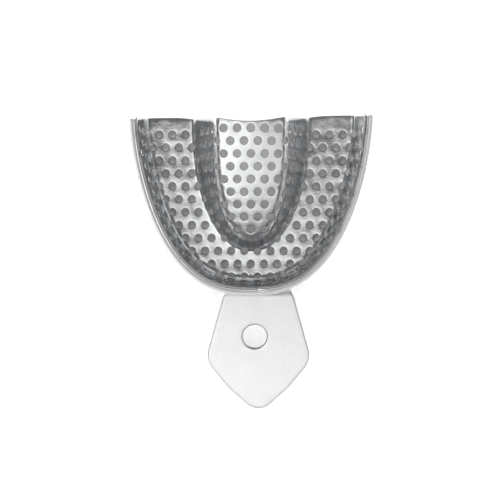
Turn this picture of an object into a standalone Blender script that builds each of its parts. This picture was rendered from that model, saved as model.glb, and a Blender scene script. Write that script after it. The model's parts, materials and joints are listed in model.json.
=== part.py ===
"""Perforated stainless steel impression tray for the upper jaw.

A pressed sheet pan (trough floor, flared outer wall, raised palate), a round wire
soldered along its outer rim, and a stamped handle plate whose bent tab is soldered
to the front wall under the rim.

Metres, +Z up.  The tray stands on the underside of its trough floor (z = 0), its
open back edge faces +Y and the handle points towards -Y.  The origin is the middle
of the tray's footprint.
"""
import math

import bmesh
import bpy
import numpy as np
from mathutils import Vector
from mathutils.geometry import delaunay_2d_cdt

MM = 0.001
GAP = 0.3 * MM

# Pressed pan
SHEET = 0.6 * MM
WIDEST_Y = 44.0 * MM
STRAIGHT_END = 4.0 * MM
BACK_Y = 44.8 * MM
BACK_NOTCH = 3.2 * MM
BACK_NOTCH_HALF = 24.0 * MM
BACK_SKEW = 0.4 * MM
CORNER_SETBACK = 0.7 * MM
CORNER_RADIUS = 2.2 * MM
OUTLINE_STATION = 2.3 * MM
CORNER_STEPS = 5
CORNER_CLEARANCE = OUTLINE_STATION / 4

# Line where the trough floor starts to bend up into the outer wall
FLOOR_HALF_WIDTH = 30.0 * MM
FLOOR_FRONT_Y = -3.3 * MM
FLOOR_EXPONENTS = (2.6, 1.6)
BEND_RADIUS = 2.5 * MM
WALL_ANGLE = math.radians(81.0)
WALL_HEIGHT = 12.0 * MM

# Line where the trough floor meets the foot of the raised palate
PALATE_HALF_WIDTH = 17.0 * MM
PALATE_FRONT_Y = 4.8 * MM
PALATE_EXPONENTS = (2.15, 2.1)
PALATE_WALL_SLOPE = math.tan(math.radians(64.0))
PALATE_FOOT_BLEND = 3.0 * MM
PALATE_EDGE_BLEND = 1.6 * MM
PALATE_HEIGHT = 14.6 * MM
PALATE_DROP = 8.0 * MM
PALATE_DROP_LENGTH = 33.0 * MM
PALATE_DROP_EXPONENT = 1.7
PALATE_CROWN = 0.9 * MM
PALATE_CROWN_HALF = 10.0 * MM

# Perforations
HOLE_RADIUS = 1.1 * MM
HOLE_SIDES = 6
HOLE_PITCH = 4.0 * MM
FLOOR_ROW_PITCH = 3.95 * MM
FLOOR_FIRST_ROW_Y = -4.0 * MM
FLOOR_ROWS = (-3, 12)
PALATE_ROW_PITCH = 3.67 * MM
PALATE_FIRST_ROW_Y = 39.6 * MM
PALATE_ROWS = 10
FLOOR_HOLES_ONTO_PALATE = 0.3 * MM
PALATE_HOLE_INSET = 1.9 * MM
HOLE_EDGE_MARGIN = 1.9 * MM
HOLE_MIN_DISTANCE = 3.1 * MM

# Extra blank points along the bends: shares of the wall's bend, and distances into the
# palate from its foot line and from its upper edge
WALL_BEND_SHARES = (0.0, 0.35, 0.7, 1.0)
FOOT_INSETS = (-1.3 * MM, -0.4 * MM, 0.5 * MM, 1.4 * MM)
EDGE_INSETS = (-0.7 * MM, 0.1 * MM, 0.9 * MM)
EDGE_PASSES = 3
BEND_SPACING = 2.0 * MM
EDGE_SPACING = 1.8 * MM
BEND_HOLE_CLEARANCE = 0.35 * MM
BEND_MIN_SPACING = 0.7 * MM

# Rim wire and its solder seam
WIRE_RADIUS = 0.75 * MM
WIRE_DROP = 0.5 * MM
WIRE_SIDES = 8
WIRE_END_INSET = 1.2 * MM
SEAM_RADIUS = 0.25 * MM
SEAM_SIDES = 6
SEAM_END_INSET = 1.6 * MM
RIM_STATION = 1.9 * MM

# Handle plate: a tab flush on the front wall, a bend, and a drooping kite-shaped blade
HANDLE_X = 2.25 * MM
HANDLE_THICKNESS = 1.5 * MM
HANDLE_DROOP = math.radians(10.0)
HANDLE_TOP_Z = 9.6 * MM
HANDLE_BEND_RADIUS = 1.6 * MM
TAB_BOTTOM_Z = 3.2 * MM
TAB_HALF_WIDTH = 8.6 * MM
TAB_CORNER_RADIUS = 1.2 * MM
TAB_CORNER_STEPS = 5
ROOT_HALF_WIDTH = 10.6 * MM
SHOULDER_HALF_WIDTH = 16.1 * MM
SHOULDER_Y = -28.9 * MM
SHOULDER_RADIUS = 7.0 * MM
SHOULDER_STEPS = 12
CHEEK_HALF_WIDTH = 9.1 * MM
CHEEK_Y = -37.6 * MM
CHEEK_RADIUS = 20.0 * MM
CHEEK_STEPS = 4
POINT_Y = -45.9 * MM
POINT_RADIUS = 5.2 * MM
POINT_STEPS = 13
HANDLE_HOLE_RADIUS = 3.5 * MM
HANDLE_HOLE_X = -1.1 * MM
HANDLE_HOLE_Y = -21.75 * MM
HANDLE_HOLE_SIDES = 32
HANDLE_STATION = 1.6 * MM
HANDLE_SIDE_STATIONS = 5
HANDLE_BEND_STEPS = 8

# Solder round the handle's tab
FOOT_SOLDER_RADIUS = 0.4 * MM
FOOT_SOLDER_TOP_Z = 6.2 * MM
TOP_SOLDER_RADIUS = 0.3 * MM
SOLDER_CORNER_RADIUS = 1.4 * MM
SOLDER_CORNER_STEPS = 8
SOLDER_SIDES = 6
SOLDER_STATION = 0.8 * MM
SOLDER_END_TAPER = 0.55
SOLDER_TAPER_POWER = 8

CURVE_SAMPLES = 700
SECTION_SAMPLES = 400
GRADIENT_STEP = 0.02 * MM
SHARP_EDGE = math.radians(35.0)


# ---------------------------------------------------------------- plan curves

def superellipse(half_width, front_y, exponents):
    """U-shaped plan curve from the +X end of the back edge, round the front, to the -X end."""
    across, along = exponents
    angle = np.linspace(0.0, math.pi / 2, CURVE_SAMPLES)
    x = half_width * np.cos(angle) ** (2 / across)
    y = WIDEST_Y - (WIDEST_Y - front_y) * np.sin(angle) ** (2 / along)
    right = np.concatenate([[(half_width, WIDEST_Y + STRAIGHT_END)], np.stack([x, y], axis=1)])
    left = right[-2::-1] * (-1, 1)
    return np.concatenate([right, left])


def outward_normals(curve):
    """Unit normals of a U-shaped curve, pointing away from the inside of the U."""
    step = np.gradient(curve, axis=0)
    step /= np.linalg.norm(step, axis=1)[:, None]
    return np.stack([-step[:, 1], step[:, 0]], axis=1)


def nearest_on_curve(points, curve):
    """Signed distance (outside positive), foot point and outward normal for each point."""
    start = curve[:-1]
    leg = curve[1:] - start
    offset = points[:, None] - start[None]
    share = np.clip((offset * leg).sum(-1) / (leg * leg).sum(-1), 0.0, 1.0)
    apart = np.linalg.norm(offset - share[..., None] * leg, axis=-1)
    best = apart.argmin(axis=1)
    share = share[np.arange(len(points)), best][:, None]
    foot = start[best] + share * leg[best]
    normals = outward_normals(curve)
    normal = normals[best] * (1 - share) + normals[best + 1] * share
    normal /= np.linalg.norm(normal, axis=1)[:, None]
    distance = ((points - foot) * normal).sum(axis=1)
    return distance, foot, normal


def offset_curve(curve, distance):
    return curve + outward_normals(curve) * distance


def evenly_spaced(curve, spacing):
    """Points along a curve at nearly equal spacing, both ends included."""
    run = np.concatenate([[0.0], np.cumsum(np.linalg.norm(np.diff(curve, axis=0), axis=1))])
    count = max(2, round(run[-1] / spacing) + 1)
    stations = np.linspace(0.0, run[-1], count)
    return np.stack([np.interp(stations, run, curve[:, axis]) for axis in (0, 1)], axis=1)


FLOOR_LINE = superellipse(FLOOR_HALF_WIDTH, FLOOR_FRONT_Y, FLOOR_EXPONENTS)
PALATE_LINE = superellipse(PALATE_HALF_WIDTH, PALATE_FRONT_Y, PALATE_EXPONENTS)


# ------------------------------------------------------------- pan's pressed form

def smooth_max(a, b, blend):
    reach = np.maximum(blend - np.abs(a - b), 0.0) / blend
    return np.maximum(a, b) + reach * reach * blend / 4


def smooth_min(a, b, blend):
    return -smooth_max(-a, -b, blend)


def palate_ridge(y):
    """Height of the palate's edge, which drops in a curve towards the front."""
    towards_front = np.clip((WIDEST_Y - y) / PALATE_DROP_LENGTH, 0.0, None)
    drop = PALATE_DROP * towards_front ** PALATE_DROP_EXPONENT
    return np.maximum(PALATE_HEIGHT - drop, PALATE_EDGE_BLEND)


def palate_height(points):
    """Height of the pressed palate above the trough floor at plan points."""
    inside = -nearest_on_curve(points, PALATE_LINE)[0]
    wall = smooth_max(PALATE_WALL_SLOPE * inside, np.zeros(len(points)), PALATE_FOOT_BLEND)
    crown = PALATE_CROWN * np.maximum(1 - (points[:, 0] / PALATE_CROWN_HALF) ** 2, 0.0)
    return smooth_min(wall, palate_ridge(points[:, 1]) + crown, PALATE_EDGE_BLEND)


def palate_gradient(points):
    slope = []
    for step in np.eye(2) * GRADIENT_STEP:
        rise = palate_height(points + step) - palate_height(points - step)
        slope.append(rise / (2 * GRADIENT_STEP))
    return np.stack(slope, axis=1)


def wall_profile(developed):
    """Outward reach, height and steepness of the outer wall after a developed length."""
    angle = np.minimum(developed / BEND_RADIUS, WALL_ANGLE)
    straight = np.maximum(developed - BEND_RADIUS * WALL_ANGLE, 0.0)
    reach = BEND_RADIUS * np.sin(angle) + straight * math.cos(WALL_ANGLE)
    height = BEND_RADIUS * (1 - np.cos(angle)) + straight * math.sin(WALL_ANGLE)
    return reach, height, angle


def wall_developed_length():
    bend = BEND_RADIUS * WALL_ANGLE
    bend_height = BEND_RADIUS * (1 - math.cos(WALL_ANGLE))
    straight = (WALL_HEIGHT - SHEET / 2 - bend_height) / math.sin(WALL_ANGLE)
    return bend + straight


def press_pan(blank):
    """Place flat blank points on the middle surface of the pressed pan, with normals."""
    distance, foot, normal = nearest_on_curve(blank, FLOOR_LINE)
    gradient = palate_gradient(blank)
    flat = np.column_stack([blank, palate_height(blank)])
    flat_normal = np.column_stack([-gradient, np.ones(len(blank))])
    flat_normal /= np.linalg.norm(flat_normal, axis=1)[:, None]
    reach, height, angle = wall_profile(np.maximum(distance, 0.0))
    wall = np.column_stack([foot + normal * reach[:, None], height])
    wall_normal = np.column_stack([-normal * np.sin(angle)[:, None], np.cos(angle)])
    on_wall = (distance > 0.0)[:, None]
    middle = np.where(on_wall, wall, flat)
    middle[:, 2] += SHEET / 2
    return middle, np.where(on_wall, wall_normal, flat_normal)


# ----------------------------------------------------------------- sheet pieces

def inside_polygon(points, polygon):
    """Even-odd test of plan points against a closed polygon."""
    x, y = points[:, 0], points[:, 1]
    inside = np.zeros(len(points), dtype=bool)
    for (x0, y0), (x1, y1) in zip(polygon, np.roll(polygon, -1, axis=0)):
        if y0 != y1:
            crosses = ((y0 > y) != (y1 > y)) & (x < (x1 - x0) * (y - y0) / (y1 - y0) + x0)
            inside ^= crosses
    return inside


def triangulate(outline, holes, fill_points):
    """Triangles of a flat outline with holes, using the given extra points inside it."""
    points = [Vector(p) for loop in [outline, *holes] for p in loop]
    edges = []
    first = 0
    for loop in [outline, *holes]:
        count = len(loop)
        edges += [(first + i, first + (i + 1) % count) for i in range(count)]
        first += count
    points += [Vector(p) for p in fill_points]
    result = delaunay_2d_cdt(points, edges, [], 1, 1e-9)
    flat = np.array([tuple(p) for p in result[0]])
    triangles = np.array(result[2])
    centres = flat[triangles].mean(axis=1)
    keep = inside_polygon(centres, outline)
    for hole in holes:
        middle = hole.mean(axis=0)
        reach = np.linalg.norm(hole - middle, axis=1).max()
        near = np.flatnonzero(np.linalg.norm(centres - middle, axis=1) < reach)
        keep[near[inside_polygon(centres[near], hole)]] = False
    return flat, triangles[keep]


def thick_sheet(name, outline, holes, fill_points, form, thickness, material):
    """Closed solid of a sheet: a flat blank, formed, with the thickness split about its middle."""
    flat, triangles = triangulate(outline, holes, fill_points)
    middle, normal = form(flat)
    vertices = np.concatenate([middle + normal * thickness / 2, middle - normal * thickness / 2])
    count = len(flat)
    faces = [tuple(t) for t in triangles] + [tuple(t[::-1] + count) for t in triangles]
    directed = {(t[i], t[(i + 1) % 3]) for t in triangles.tolist() for i in range(3)}
    border = sorted(edge for edge in directed if edge[::-1] not in directed)
    faces += [(a, a + count, b + count, b) for a, b in border]
    return add_object(name, vertices, faces, material)


def add_object(name, vertices, faces, material):
    mesh = bpy.data.meshes.new(name)
    mesh.from_pydata([tuple(v) for v in vertices], [], [tuple(map(int, f)) for f in faces])
    body = bmesh.new()
    body.from_mesh(mesh)
    bmesh.ops.recalc_face_normals(body, faces=body.faces)
    body.to_mesh(mesh)
    body.free()
    mesh.shade_smooth()
    mesh.set_sharp_from_angle(angle=SHARP_EDGE)
    mesh.materials.append(material)
    piece = bpy.data.objects.new(name, mesh)
    bpy.context.scene.collection.objects.link(piece)
    return piece


def metal(name, color, roughness):
    """Bare metal with the given colour and roughness."""
    material = bpy.data.materials.new(name)
    material.use_nodes = True
    shader = material.node_tree.nodes["Principled BSDF"]
    shader.inputs["Base Color"].default_value = (*color, 1.0)
    shader.inputs["Metallic"].default_value = 1.0
    shader.inputs["Roughness"].default_value = roughness
    return material


# ------------------------------------------------------------------ tray pan

def back_edge_y(x):
    """Back edge of the blank: hollowed over the palate, set back up the outer walls."""
    over_palate = np.clip(x / BACK_NOTCH_HALF, -1.0, 1.0)
    up_wall = np.clip((np.abs(x) - FLOOR_HALF_WIDTH) / wall_developed_length(), 0.0, 1.0)
    notch = BACK_NOTCH * np.cos(over_palate * math.pi / 2) ** 2
    return BACK_Y - notch - CORNER_SETBACK * up_wall + BACK_SKEW * x / FLOOR_HALF_WIDTH


def pan_outline():
    """Blank outline: the wall's top edge, rounded back corners and the shaped back edge."""
    top = offset_curve(FLOOR_LINE, wall_developed_length())
    half_width = top[0, 0]
    turn = np.radians(np.linspace(90.0, 0.0, CORNER_STEPS))
    corner = CORNER_RADIUS * np.stack([np.cos(turn), np.sin(turn)], axis=1)
    corners = {}
    inner_x = half_width - CORNER_RADIUS
    for side in (1, -1):
        centre_y = back_edge_y(side * inner_x) - CORNER_RADIUS
        corners[side] = (corner + (inner_x, centre_y)) * (side, 1)
    below = np.where(top[:, 0] > 0, corners[1][-1, 1], corners[-1][-1, 1])
    along_wall = evenly_spaced(top[top[:, 1] < below - CORNER_CLEARANCE], OUTLINE_STATION)
    count = round(2 * inner_x / OUTLINE_STATION)
    x = np.linspace(-inner_x, inner_x, count)[1:-1]
    back = np.stack([x, back_edge_y(x)], axis=1)
    return np.concatenate([corners[1], along_wall, corners[-1][::-1], back])


def lattice_row(y, pitch, shifted, half_width):
    """Hole centres of one straight row, every second row shifted by half a pitch."""
    start = pitch / 2 if shifted else 0.0
    right = np.arange(start, half_width, pitch)
    x = np.unique(np.concatenate([-right, right]))
    return np.stack([x, np.full(len(x), y)], axis=1)


def palate_row(y, shifted):
    """Hole centres of one palate row, spaced along the curved surface from the middle."""
    x = np.linspace(0.0, PALATE_HALF_WIDTH, SECTION_SAMPLES)
    section = palate_height(np.stack([x, np.full(len(x), y)], axis=1))
    run = np.concatenate([[0.0], np.cumsum(np.hypot(np.diff(x), np.diff(section)))])
    developed = lattice_row(y, HOLE_PITCH, shifted, run[-1])
    developed[:, 0] = np.sign(developed[:, 0]) * np.interp(np.abs(developed[:, 0]), run, x)
    return developed


def hole_centres(outline):
    """Centres of all perforations in the blank."""
    floor = []
    for row in range(*FLOOR_ROWS):
        y = FLOOR_FIRST_ROW_Y + row * FLOOR_ROW_PITCH
        floor.append(lattice_row(y, HOLE_PITCH, row % 2 == 0, 2 * FLOOR_HALF_WIDTH))
    floor = np.concatenate(floor)
    floor = floor[nearest_on_curve(floor, PALATE_LINE)[0] > -FLOOR_HOLES_ONTO_PALATE]
    palate = []
    for row in range(PALATE_ROWS):
        palate.append(palate_row(PALATE_FIRST_ROW_Y - row * PALATE_ROW_PITCH, row % 2 == 1))
    palate = np.concatenate(palate)
    palate = palate[nearest_on_curve(palate, PALATE_LINE)[0] < -PALATE_HOLE_INSET]
    apart = np.linalg.norm(press_pan(palate)[0][:, None] - press_pan(floor)[0][None], axis=-1)
    palate = palate[apart.min(axis=1) > HOLE_MIN_DISTANCE]
    centres = np.concatenate([floor, palate])
    border = np.concatenate([outline, outline[:1]])
    to_border = np.linalg.norm(nearest_on_curve(centres, border)[1] - centres, axis=1)
    return centres[(to_border > HOLE_EDGE_MARGIN) & inside_polygon(centres, outline)]


def hole_outline(centre, sides):
    """A hole that is round on the formed surface, as its blank or plan outline."""
    slope = palate_gradient(centre[None])[0]
    steepness = np.linalg.norm(slope)
    uphill = slope / steepness if steepness > 1e-6 else np.array([1.0, 0.0])
    level = np.array([-uphill[1], uphill[0]])
    turn = (np.arange(sides) + 0.5) * 2 * math.pi / sides
    narrow = 1 / math.sqrt(1 + steepness ** 2)
    along = np.cos(turn)[:, None] * narrow * uphill + np.sin(turn)[:, None] * level
    return centre + HOLE_RADIUS * along


def bend_points(centres):
    """Extra blank points that let the sheet follow its bends, kept off the holes."""
    lines = []
    bend = BEND_RADIUS * WALL_ANGLE
    for share in WALL_BEND_SHARES:
        lines.append(evenly_spaced(offset_curve(FLOOR_LINE, share * bend), BEND_SPACING))
    for inset in FOOT_INSETS:
        lines.append(evenly_spaced(offset_curve(PALATE_LINE, -inset), BEND_SPACING))
    for inset in EDGE_INSETS:
        edge = evenly_spaced(PALATE_LINE, EDGE_SPACING)
        for _ in range(EDGE_PASSES):
            _, foot, normal = nearest_on_curve(edge, PALATE_LINE)
            run = palate_ridge(edge[:, 1]) / PALATE_WALL_SLOPE
            edge = foot - normal * (run + inset)[:, None]
        lines.append(edge)
    points = np.concatenate(lines)
    apart = np.linalg.norm(points[:, None] - centres[None], axis=-1)
    return points[apart.min(axis=1) > HOLE_RADIUS + BEND_HOLE_CLEARANCE]


def thin_out(points, border, spacing):
    """Drop points that crowd an earlier point or the border."""
    kept = []
    loop = np.concatenate([border, border[:1]])
    to_border = np.linalg.norm(nearest_on_curve(points, loop)[1] - points, axis=1)
    inside = inside_polygon(points, border)
    for point, room in zip(points[inside], to_border[inside]):
        if room < spacing:
            continue
        if kept and np.linalg.norm(np.array(kept) - point, axis=1).min() < spacing:
            continue
        kept.append(point)
    return np.array(kept)


def make_tray_pan(material):
    outline = pan_outline()
    centres = hole_centres(outline)
    holes = [hole_outline(centre, HOLE_SIDES) for centre in centres]
    fill = thin_out(bend_points(centres), outline, BEND_MIN_SPACING)
    return thick_sheet("tray_pan", outline, holes, fill, press_pan, SHEET, material)


# ------------------------------------------------------------------- rim wire

def sweep(name, path, radii, sides, across, material):
    """Closed tube along a path; across is a direction that the path never runs along."""
    tangent = np.gradient(path, axis=0)
    tangent /= np.linalg.norm(tangent, axis=1)[:, None]
    side = np.cross(tangent, across)
    side /= np.linalg.norm(side, axis=1)[:, None]
    rise = np.cross(side, tangent)
    turn = np.arange(sides) * 2 * math.pi / sides
    ring = np.cos(turn)[None, :, None] * side[:, None] + np.sin(turn)[None, :, None] * rise[:, None]
    vertices = (path[:, None] + ring * radii[:, None, None]).reshape(-1, 3)
    faces = []
    for station in range(len(path) - 1):
        for i in range(sides):
            a = station * sides + i
            b = station * sides + (i + 1) % sides
            faces.append((a, b, b + sides, a + sides))
    last = (len(path) - 1) * sides
    faces.append(tuple(range(sides))[::-1])
    faces.append(tuple(last + i for i in range(sides)))
    return add_object(name, vertices, faces, material)


def wall_face_reach(z):
    """Reach of the wall's outer face beyond the floor line at height z."""
    above_bend = z - SHEET / 2 - BEND_RADIUS * (1 - math.cos(WALL_ANGLE))
    middle = BEND_RADIUS * math.sin(WALL_ANGLE) + above_bend / math.tan(WALL_ANGLE)
    return middle + SHEET / 2 / math.sin(WALL_ANGLE)


def rim_tube(name, radius, z, end_inset, sides, material):
    """Round bar along the outer face of the wall at height z."""
    curve = offset_curve(FLOOR_LINE, wall_face_reach(z) + GAP + radius)
    wall_top_x = FLOOR_HALF_WIDTH + wall_developed_length()
    end_y = back_edge_y(np.copysign(wall_top_x, curve[:, 0]))
    curve = curve[curve[:, 1] < end_y - end_inset]
    stations = evenly_spaced(curve, RIM_STATION)
    path = np.column_stack([stations, np.full(len(stations), z)])
    sweep(name, path, np.full(len(path), radius), sides, (0.0, 0.0, 1.0), material)


def make_rim(wire_material, solder_material):
    wire_z = WALL_HEIGHT - WIRE_DROP
    rim_tube("rim_wire", WIRE_RADIUS, wire_z, WIRE_END_INSET, WIRE_SIDES, wire_material)
    seam_z = wire_z - WIRE_RADIUS - GAP - SEAM_RADIUS
    rim_tube("rim_solder_seam", SEAM_RADIUS, seam_z, SEAM_END_INSET, SEAM_SIDES, solder_material)


# --------------------------------------------------------------------- handle

def handle_lengths():
    """Lengths of the tab and of the bend along the middle of the plate."""
    bend_rise = HANDLE_BEND_RADIUS * (1 - math.cos(WALL_ANGLE))
    tab_rise = HANDLE_TOP_Z - HANDLE_THICKNESS / 2 - TAB_BOTTOM_Z - bend_rise
    return tab_rise / math.sin(WALL_ANGLE), HANDLE_BEND_RADIUS * (WALL_ANGLE + HANDLE_DROOP)


def handle_course(along):
    """Distance outwards, rise and heading of the plate's middle at lengths along it."""
    tab_length, bend_length = handle_lengths()
    in_tab = np.minimum(along, tab_length)
    in_bend = np.clip(along - tab_length, 0.0, bend_length)
    in_blade = np.maximum(along - tab_length - bend_length, 0.0)
    heading = WALL_ANGLE - in_bend / HANDLE_BEND_RADIUS
    out = in_tab * math.cos(WALL_ANGLE) + in_blade * math.cos(HANDLE_DROOP)
    out += HANDLE_BEND_RADIUS * (math.sin(WALL_ANGLE) - np.sin(heading))
    rise = in_tab * math.sin(WALL_ANGLE) - in_blade * math.sin(HANDLE_DROOP)
    rise += HANDLE_BEND_RADIUS * (np.cos(heading) - math.cos(WALL_ANGLE))
    return out, rise, heading


def wall_front(x, reach):
    """Y and sideways slope, at x, of the front of the floor line moved outwards by reach."""
    curve = offset_curve(FLOOR_LINE, reach)[::-1]
    curve = curve[np.abs(curve[:, 0]) < FLOOR_HALF_WIDTH / 2]
    slope = np.gradient(curve[:, 1], curve[:, 0])
    return np.interp(x, curve[:, 0], curve[:, 1]), np.interp(x, curve[:, 0], slope)


def tab_reach():
    return wall_face_reach(TAB_BOTTOM_Z) + GAP + HANDLE_THICKNESS / 2


def press_handle(blank):
    """Place flat handle points (across, along from the tab's foot) on the bent plate."""
    x = HANDLE_X + blank[:, 0]
    along = blank[:, 1]
    tab_length, bend_length = handle_lengths()
    out, rise, heading = handle_course(along)
    hug = np.clip(1 - (along - tab_length) / bend_length, 0.0, 1.0)
    hug = hug * hug * (3 - 2 * hug)
    curved_y, slope = wall_front(x, tab_reach())
    flat_y = FLOOR_FRONT_Y - tab_reach()
    y = hug * curved_y + (1 - hug) * flat_y - out
    middle = np.column_stack([x, y, TAB_BOTTOM_Z + rise])
    lean = np.sin(heading)
    normal = np.column_stack([-lean * hug * slope, lean, np.cos(heading)])
    return middle, normal / np.linalg.norm(normal, axis=1)[:, None]


def blade_along(y):
    """Length along the plate at which the blade's middle reaches y."""
    blade_start = sum(handle_lengths())
    out = handle_course(np.array([blade_start]))[0][0]
    return blade_start + (FLOOR_FRONT_Y - tab_reach() - out - y) / math.cos(HANDLE_DROOP)


def rounded_corner(before, corner, after, radius, steps):
    """Arc of the given radius that rounds the corner between two straight edges."""
    back = (before - corner) / np.linalg.norm(before - corner)
    ahead = (after - corner) / np.linalg.norm(after - corner)
    half = math.acos(back @ ahead) / 2
    bisector = (back + ahead) / np.linalg.norm(back + ahead)
    centre = corner + bisector * radius / math.sin(half)
    start = corner + back * radius / math.tan(half) - centre
    end = corner + ahead * radius / math.tan(half) - centre
    turned = math.atan2(start[0] * end[1] - start[1] * end[0], start @ end)
    turn = turned * np.linspace(0.0, 1.0, steps)[:, None]
    across = np.array([-start[1], start[0]])
    return centre + np.cos(turn) * start + np.sin(turn) * across


def handle_outline():
    """Flat outline of the handle plate."""
    tab_length, bend_length = handle_lengths()
    foot = np.array([TAB_HALF_WIDTH, 0.0])
    tab_top = np.array([TAB_HALF_WIDTH, tab_length])
    root = np.array([ROOT_HALF_WIDTH, tab_length + bend_length])
    shoulder = np.array([SHOULDER_HALF_WIDTH, blade_along(SHOULDER_Y)])
    cheek = np.array([CHEEK_HALF_WIDTH, blade_along(CHEEK_Y)])
    point = np.array([0.0, blade_along(POINT_Y)])
    foot_corner = rounded_corner(foot * 0, foot, tab_top, TAB_CORNER_RADIUS, TAB_CORNER_STEPS)
    shoulder_corner = rounded_corner(root, shoulder, cheek, SHOULDER_RADIUS, SHOULDER_STEPS)
    cheek_corner = rounded_corner(shoulder, cheek, point, CHEEK_RADIUS, CHEEK_STEPS)
    tip = rounded_corner(cheek, point, cheek * (-1, 1), POINT_RADIUS, POINT_STEPS)
    side = evenly_spaced(np.array([tab_top, root]), bend_length / HANDLE_BEND_STEPS)
    right = np.concatenate([foot_corner, side, shoulder_corner, cheek_corner])
    left = right[::-1] * (-1, 1)
    foot_edge = evenly_spaced(np.array([left[-1], right[0]]), HANDLE_STATION)[1:-1]
    return np.concatenate([right, tip, left, foot_edge])


def make_handle(material):
    tab_length, bend_length = handle_lengths()
    outline = handle_outline()
    turn = np.arange(HANDLE_HOLE_SIDES) * 2 * math.pi / HANDLE_HOLE_SIDES
    circle = HANDLE_HOLE_RADIUS * np.stack([np.cos(turn), np.sin(turn)], axis=1)
    hole = circle + (HANDLE_HOLE_X, blade_along(HANDLE_HOLE_Y))
    across = np.arange(-HANDLE_SIDE_STATIONS, HANDLE_SIDE_STATIONS + 1) * HANDLE_STATION
    rows = np.linspace(tab_length, tab_length + bend_length, HANDLE_BEND_STEPS + 1)
    rows = np.concatenate([[tab_length / 2], rows])
    fill = np.array([(x, y) for y in rows for x in across])
    return thick_sheet(
        "handle_plate", outline, [hole], fill, press_handle, HANDLE_THICKNESS, material)


def on_wall(points, radius):
    """Centre line of a bead of solder on the front wall, from points (across, height)."""
    x = HANDLE_X + points[:, 0]
    y = [wall_front(a, wall_face_reach(z) + GAP + radius)[0] for a, z in zip(x, points[:, 1])]
    return np.column_stack([x, y, points[:, 1]])


def bead(name, points, radius, material):
    """Bead of solder along the wall with tapered ends."""
    path = on_wall(evenly_spaced(points, SOLDER_STATION), radius)
    share = np.linspace(-1.0, 1.0, len(path))
    radii = radius * (1 - SOLDER_END_TAPER * share ** SOLDER_TAPER_POWER)
    return sweep(name, path, radii, SOLDER_SIDES, (0.0, 1.0, 0.0), material)


def make_handle_solder(material):
    half_width = TAB_HALF_WIDTH + GAP + FOOT_SOLDER_RADIUS
    foot_z = TAB_BOTTOM_Z - GAP - FOOT_SOLDER_RADIUS
    top = np.array([half_width, FOOT_SOLDER_TOP_Z])
    corner = np.array([half_width, foot_z])
    arc = rounded_corner(top, corner, corner * (-1, 1), SOLDER_CORNER_RADIUS, SOLDER_CORNER_STEPS)
    side = np.concatenate([[top], arc])
    bead("handle_foot_solder", np.concatenate([side, side[::-1] * (-1, 1)]),
         FOOT_SOLDER_RADIUS, material)
    # The top bead lies in the groove between the wall and the outside of the plate's bend
    from_bend_axis = HANDLE_BEND_RADIUS + HANDLE_THICKNESS / 2 + GAP + TOP_SOLDER_RADIUS
    sideways = HANDLE_BEND_RADIUS + HANDLE_THICKNESS / 2 - TOP_SOLDER_RADIUS
    beyond_tab = math.sqrt(from_bend_axis ** 2 - sideways ** 2)
    groove_z = TAB_BOTTOM_Z + (handle_lengths()[0] + beyond_tab) * math.sin(WALL_ANGLE)
    ends = np.array([[-TAB_HALF_WIDTH, groove_z], [TAB_HALF_WIDTH, groove_z]])
    bead("handle_top_solder", ends, TOP_SOLDER_RADIUS, material)


def stand_on_origin(pieces):
    """Put the middle of the tray's footprint at the origin, with its base on z = 0."""
    corners = np.array([v.co[:] for piece in pieces for v in piece.data.vertices])
    low = corners.min(axis=0)
    high = corners.max(axis=0)
    for piece in pieces:
        piece.location = (-(low[0] + high[0]) / 2, -(low[1] + high[1]) / 2, -low[2])


def main():
    for old in list(bpy.data.objects):
        bpy.data.objects.remove(old, do_unlink=True)
    polished_steel = metal("polished_steel", (0.78, 0.79, 0.80), 0.16)
    satin_steel = metal("satin_steel", (0.84, 0.85, 0.86), 0.28)
    silver_solder = metal("silver_solder", (0.80, 0.79, 0.75), 0.35)
    make_tray_pan(polished_steel)
    make_rim(polished_steel, silver_solder)
    make_handle(satin_steel)
    make_handle_solder(silver_solder)
    stand_on_origin(list(bpy.context.scene.objects))


main()
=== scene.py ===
"""Finished look of the perforated impression tray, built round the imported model.

The pan, wire, handle and solder are made again by the same rules as the solids, with
round perforations, softened edges and the slight waviness of pressed sheet.
"""
import json
import math

import bpy
import numpy as np
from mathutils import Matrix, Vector, noise
from mathutils.geometry import delaunay_2d_cdt

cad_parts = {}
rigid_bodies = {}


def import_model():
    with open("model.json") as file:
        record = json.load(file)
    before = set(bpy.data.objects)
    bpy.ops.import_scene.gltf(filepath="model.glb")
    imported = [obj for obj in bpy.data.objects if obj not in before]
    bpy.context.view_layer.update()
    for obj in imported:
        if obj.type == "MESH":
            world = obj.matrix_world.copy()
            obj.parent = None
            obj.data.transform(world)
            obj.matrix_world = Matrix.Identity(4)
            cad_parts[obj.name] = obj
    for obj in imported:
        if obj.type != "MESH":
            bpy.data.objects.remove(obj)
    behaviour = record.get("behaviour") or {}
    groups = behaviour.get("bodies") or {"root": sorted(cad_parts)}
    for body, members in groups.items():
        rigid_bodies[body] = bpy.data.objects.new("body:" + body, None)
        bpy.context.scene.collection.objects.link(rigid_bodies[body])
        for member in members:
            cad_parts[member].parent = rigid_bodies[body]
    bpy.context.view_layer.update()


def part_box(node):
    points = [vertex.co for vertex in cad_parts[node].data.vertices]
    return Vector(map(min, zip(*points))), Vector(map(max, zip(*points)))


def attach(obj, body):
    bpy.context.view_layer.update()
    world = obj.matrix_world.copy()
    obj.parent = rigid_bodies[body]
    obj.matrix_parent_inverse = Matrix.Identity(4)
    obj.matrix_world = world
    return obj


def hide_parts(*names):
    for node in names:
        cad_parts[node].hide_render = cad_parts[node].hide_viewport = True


for old in list(bpy.data.objects):
    bpy.data.objects.remove(old, do_unlink=True)
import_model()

MM = 0.001

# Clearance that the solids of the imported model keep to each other
GAP = 0.3 * MM

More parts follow.
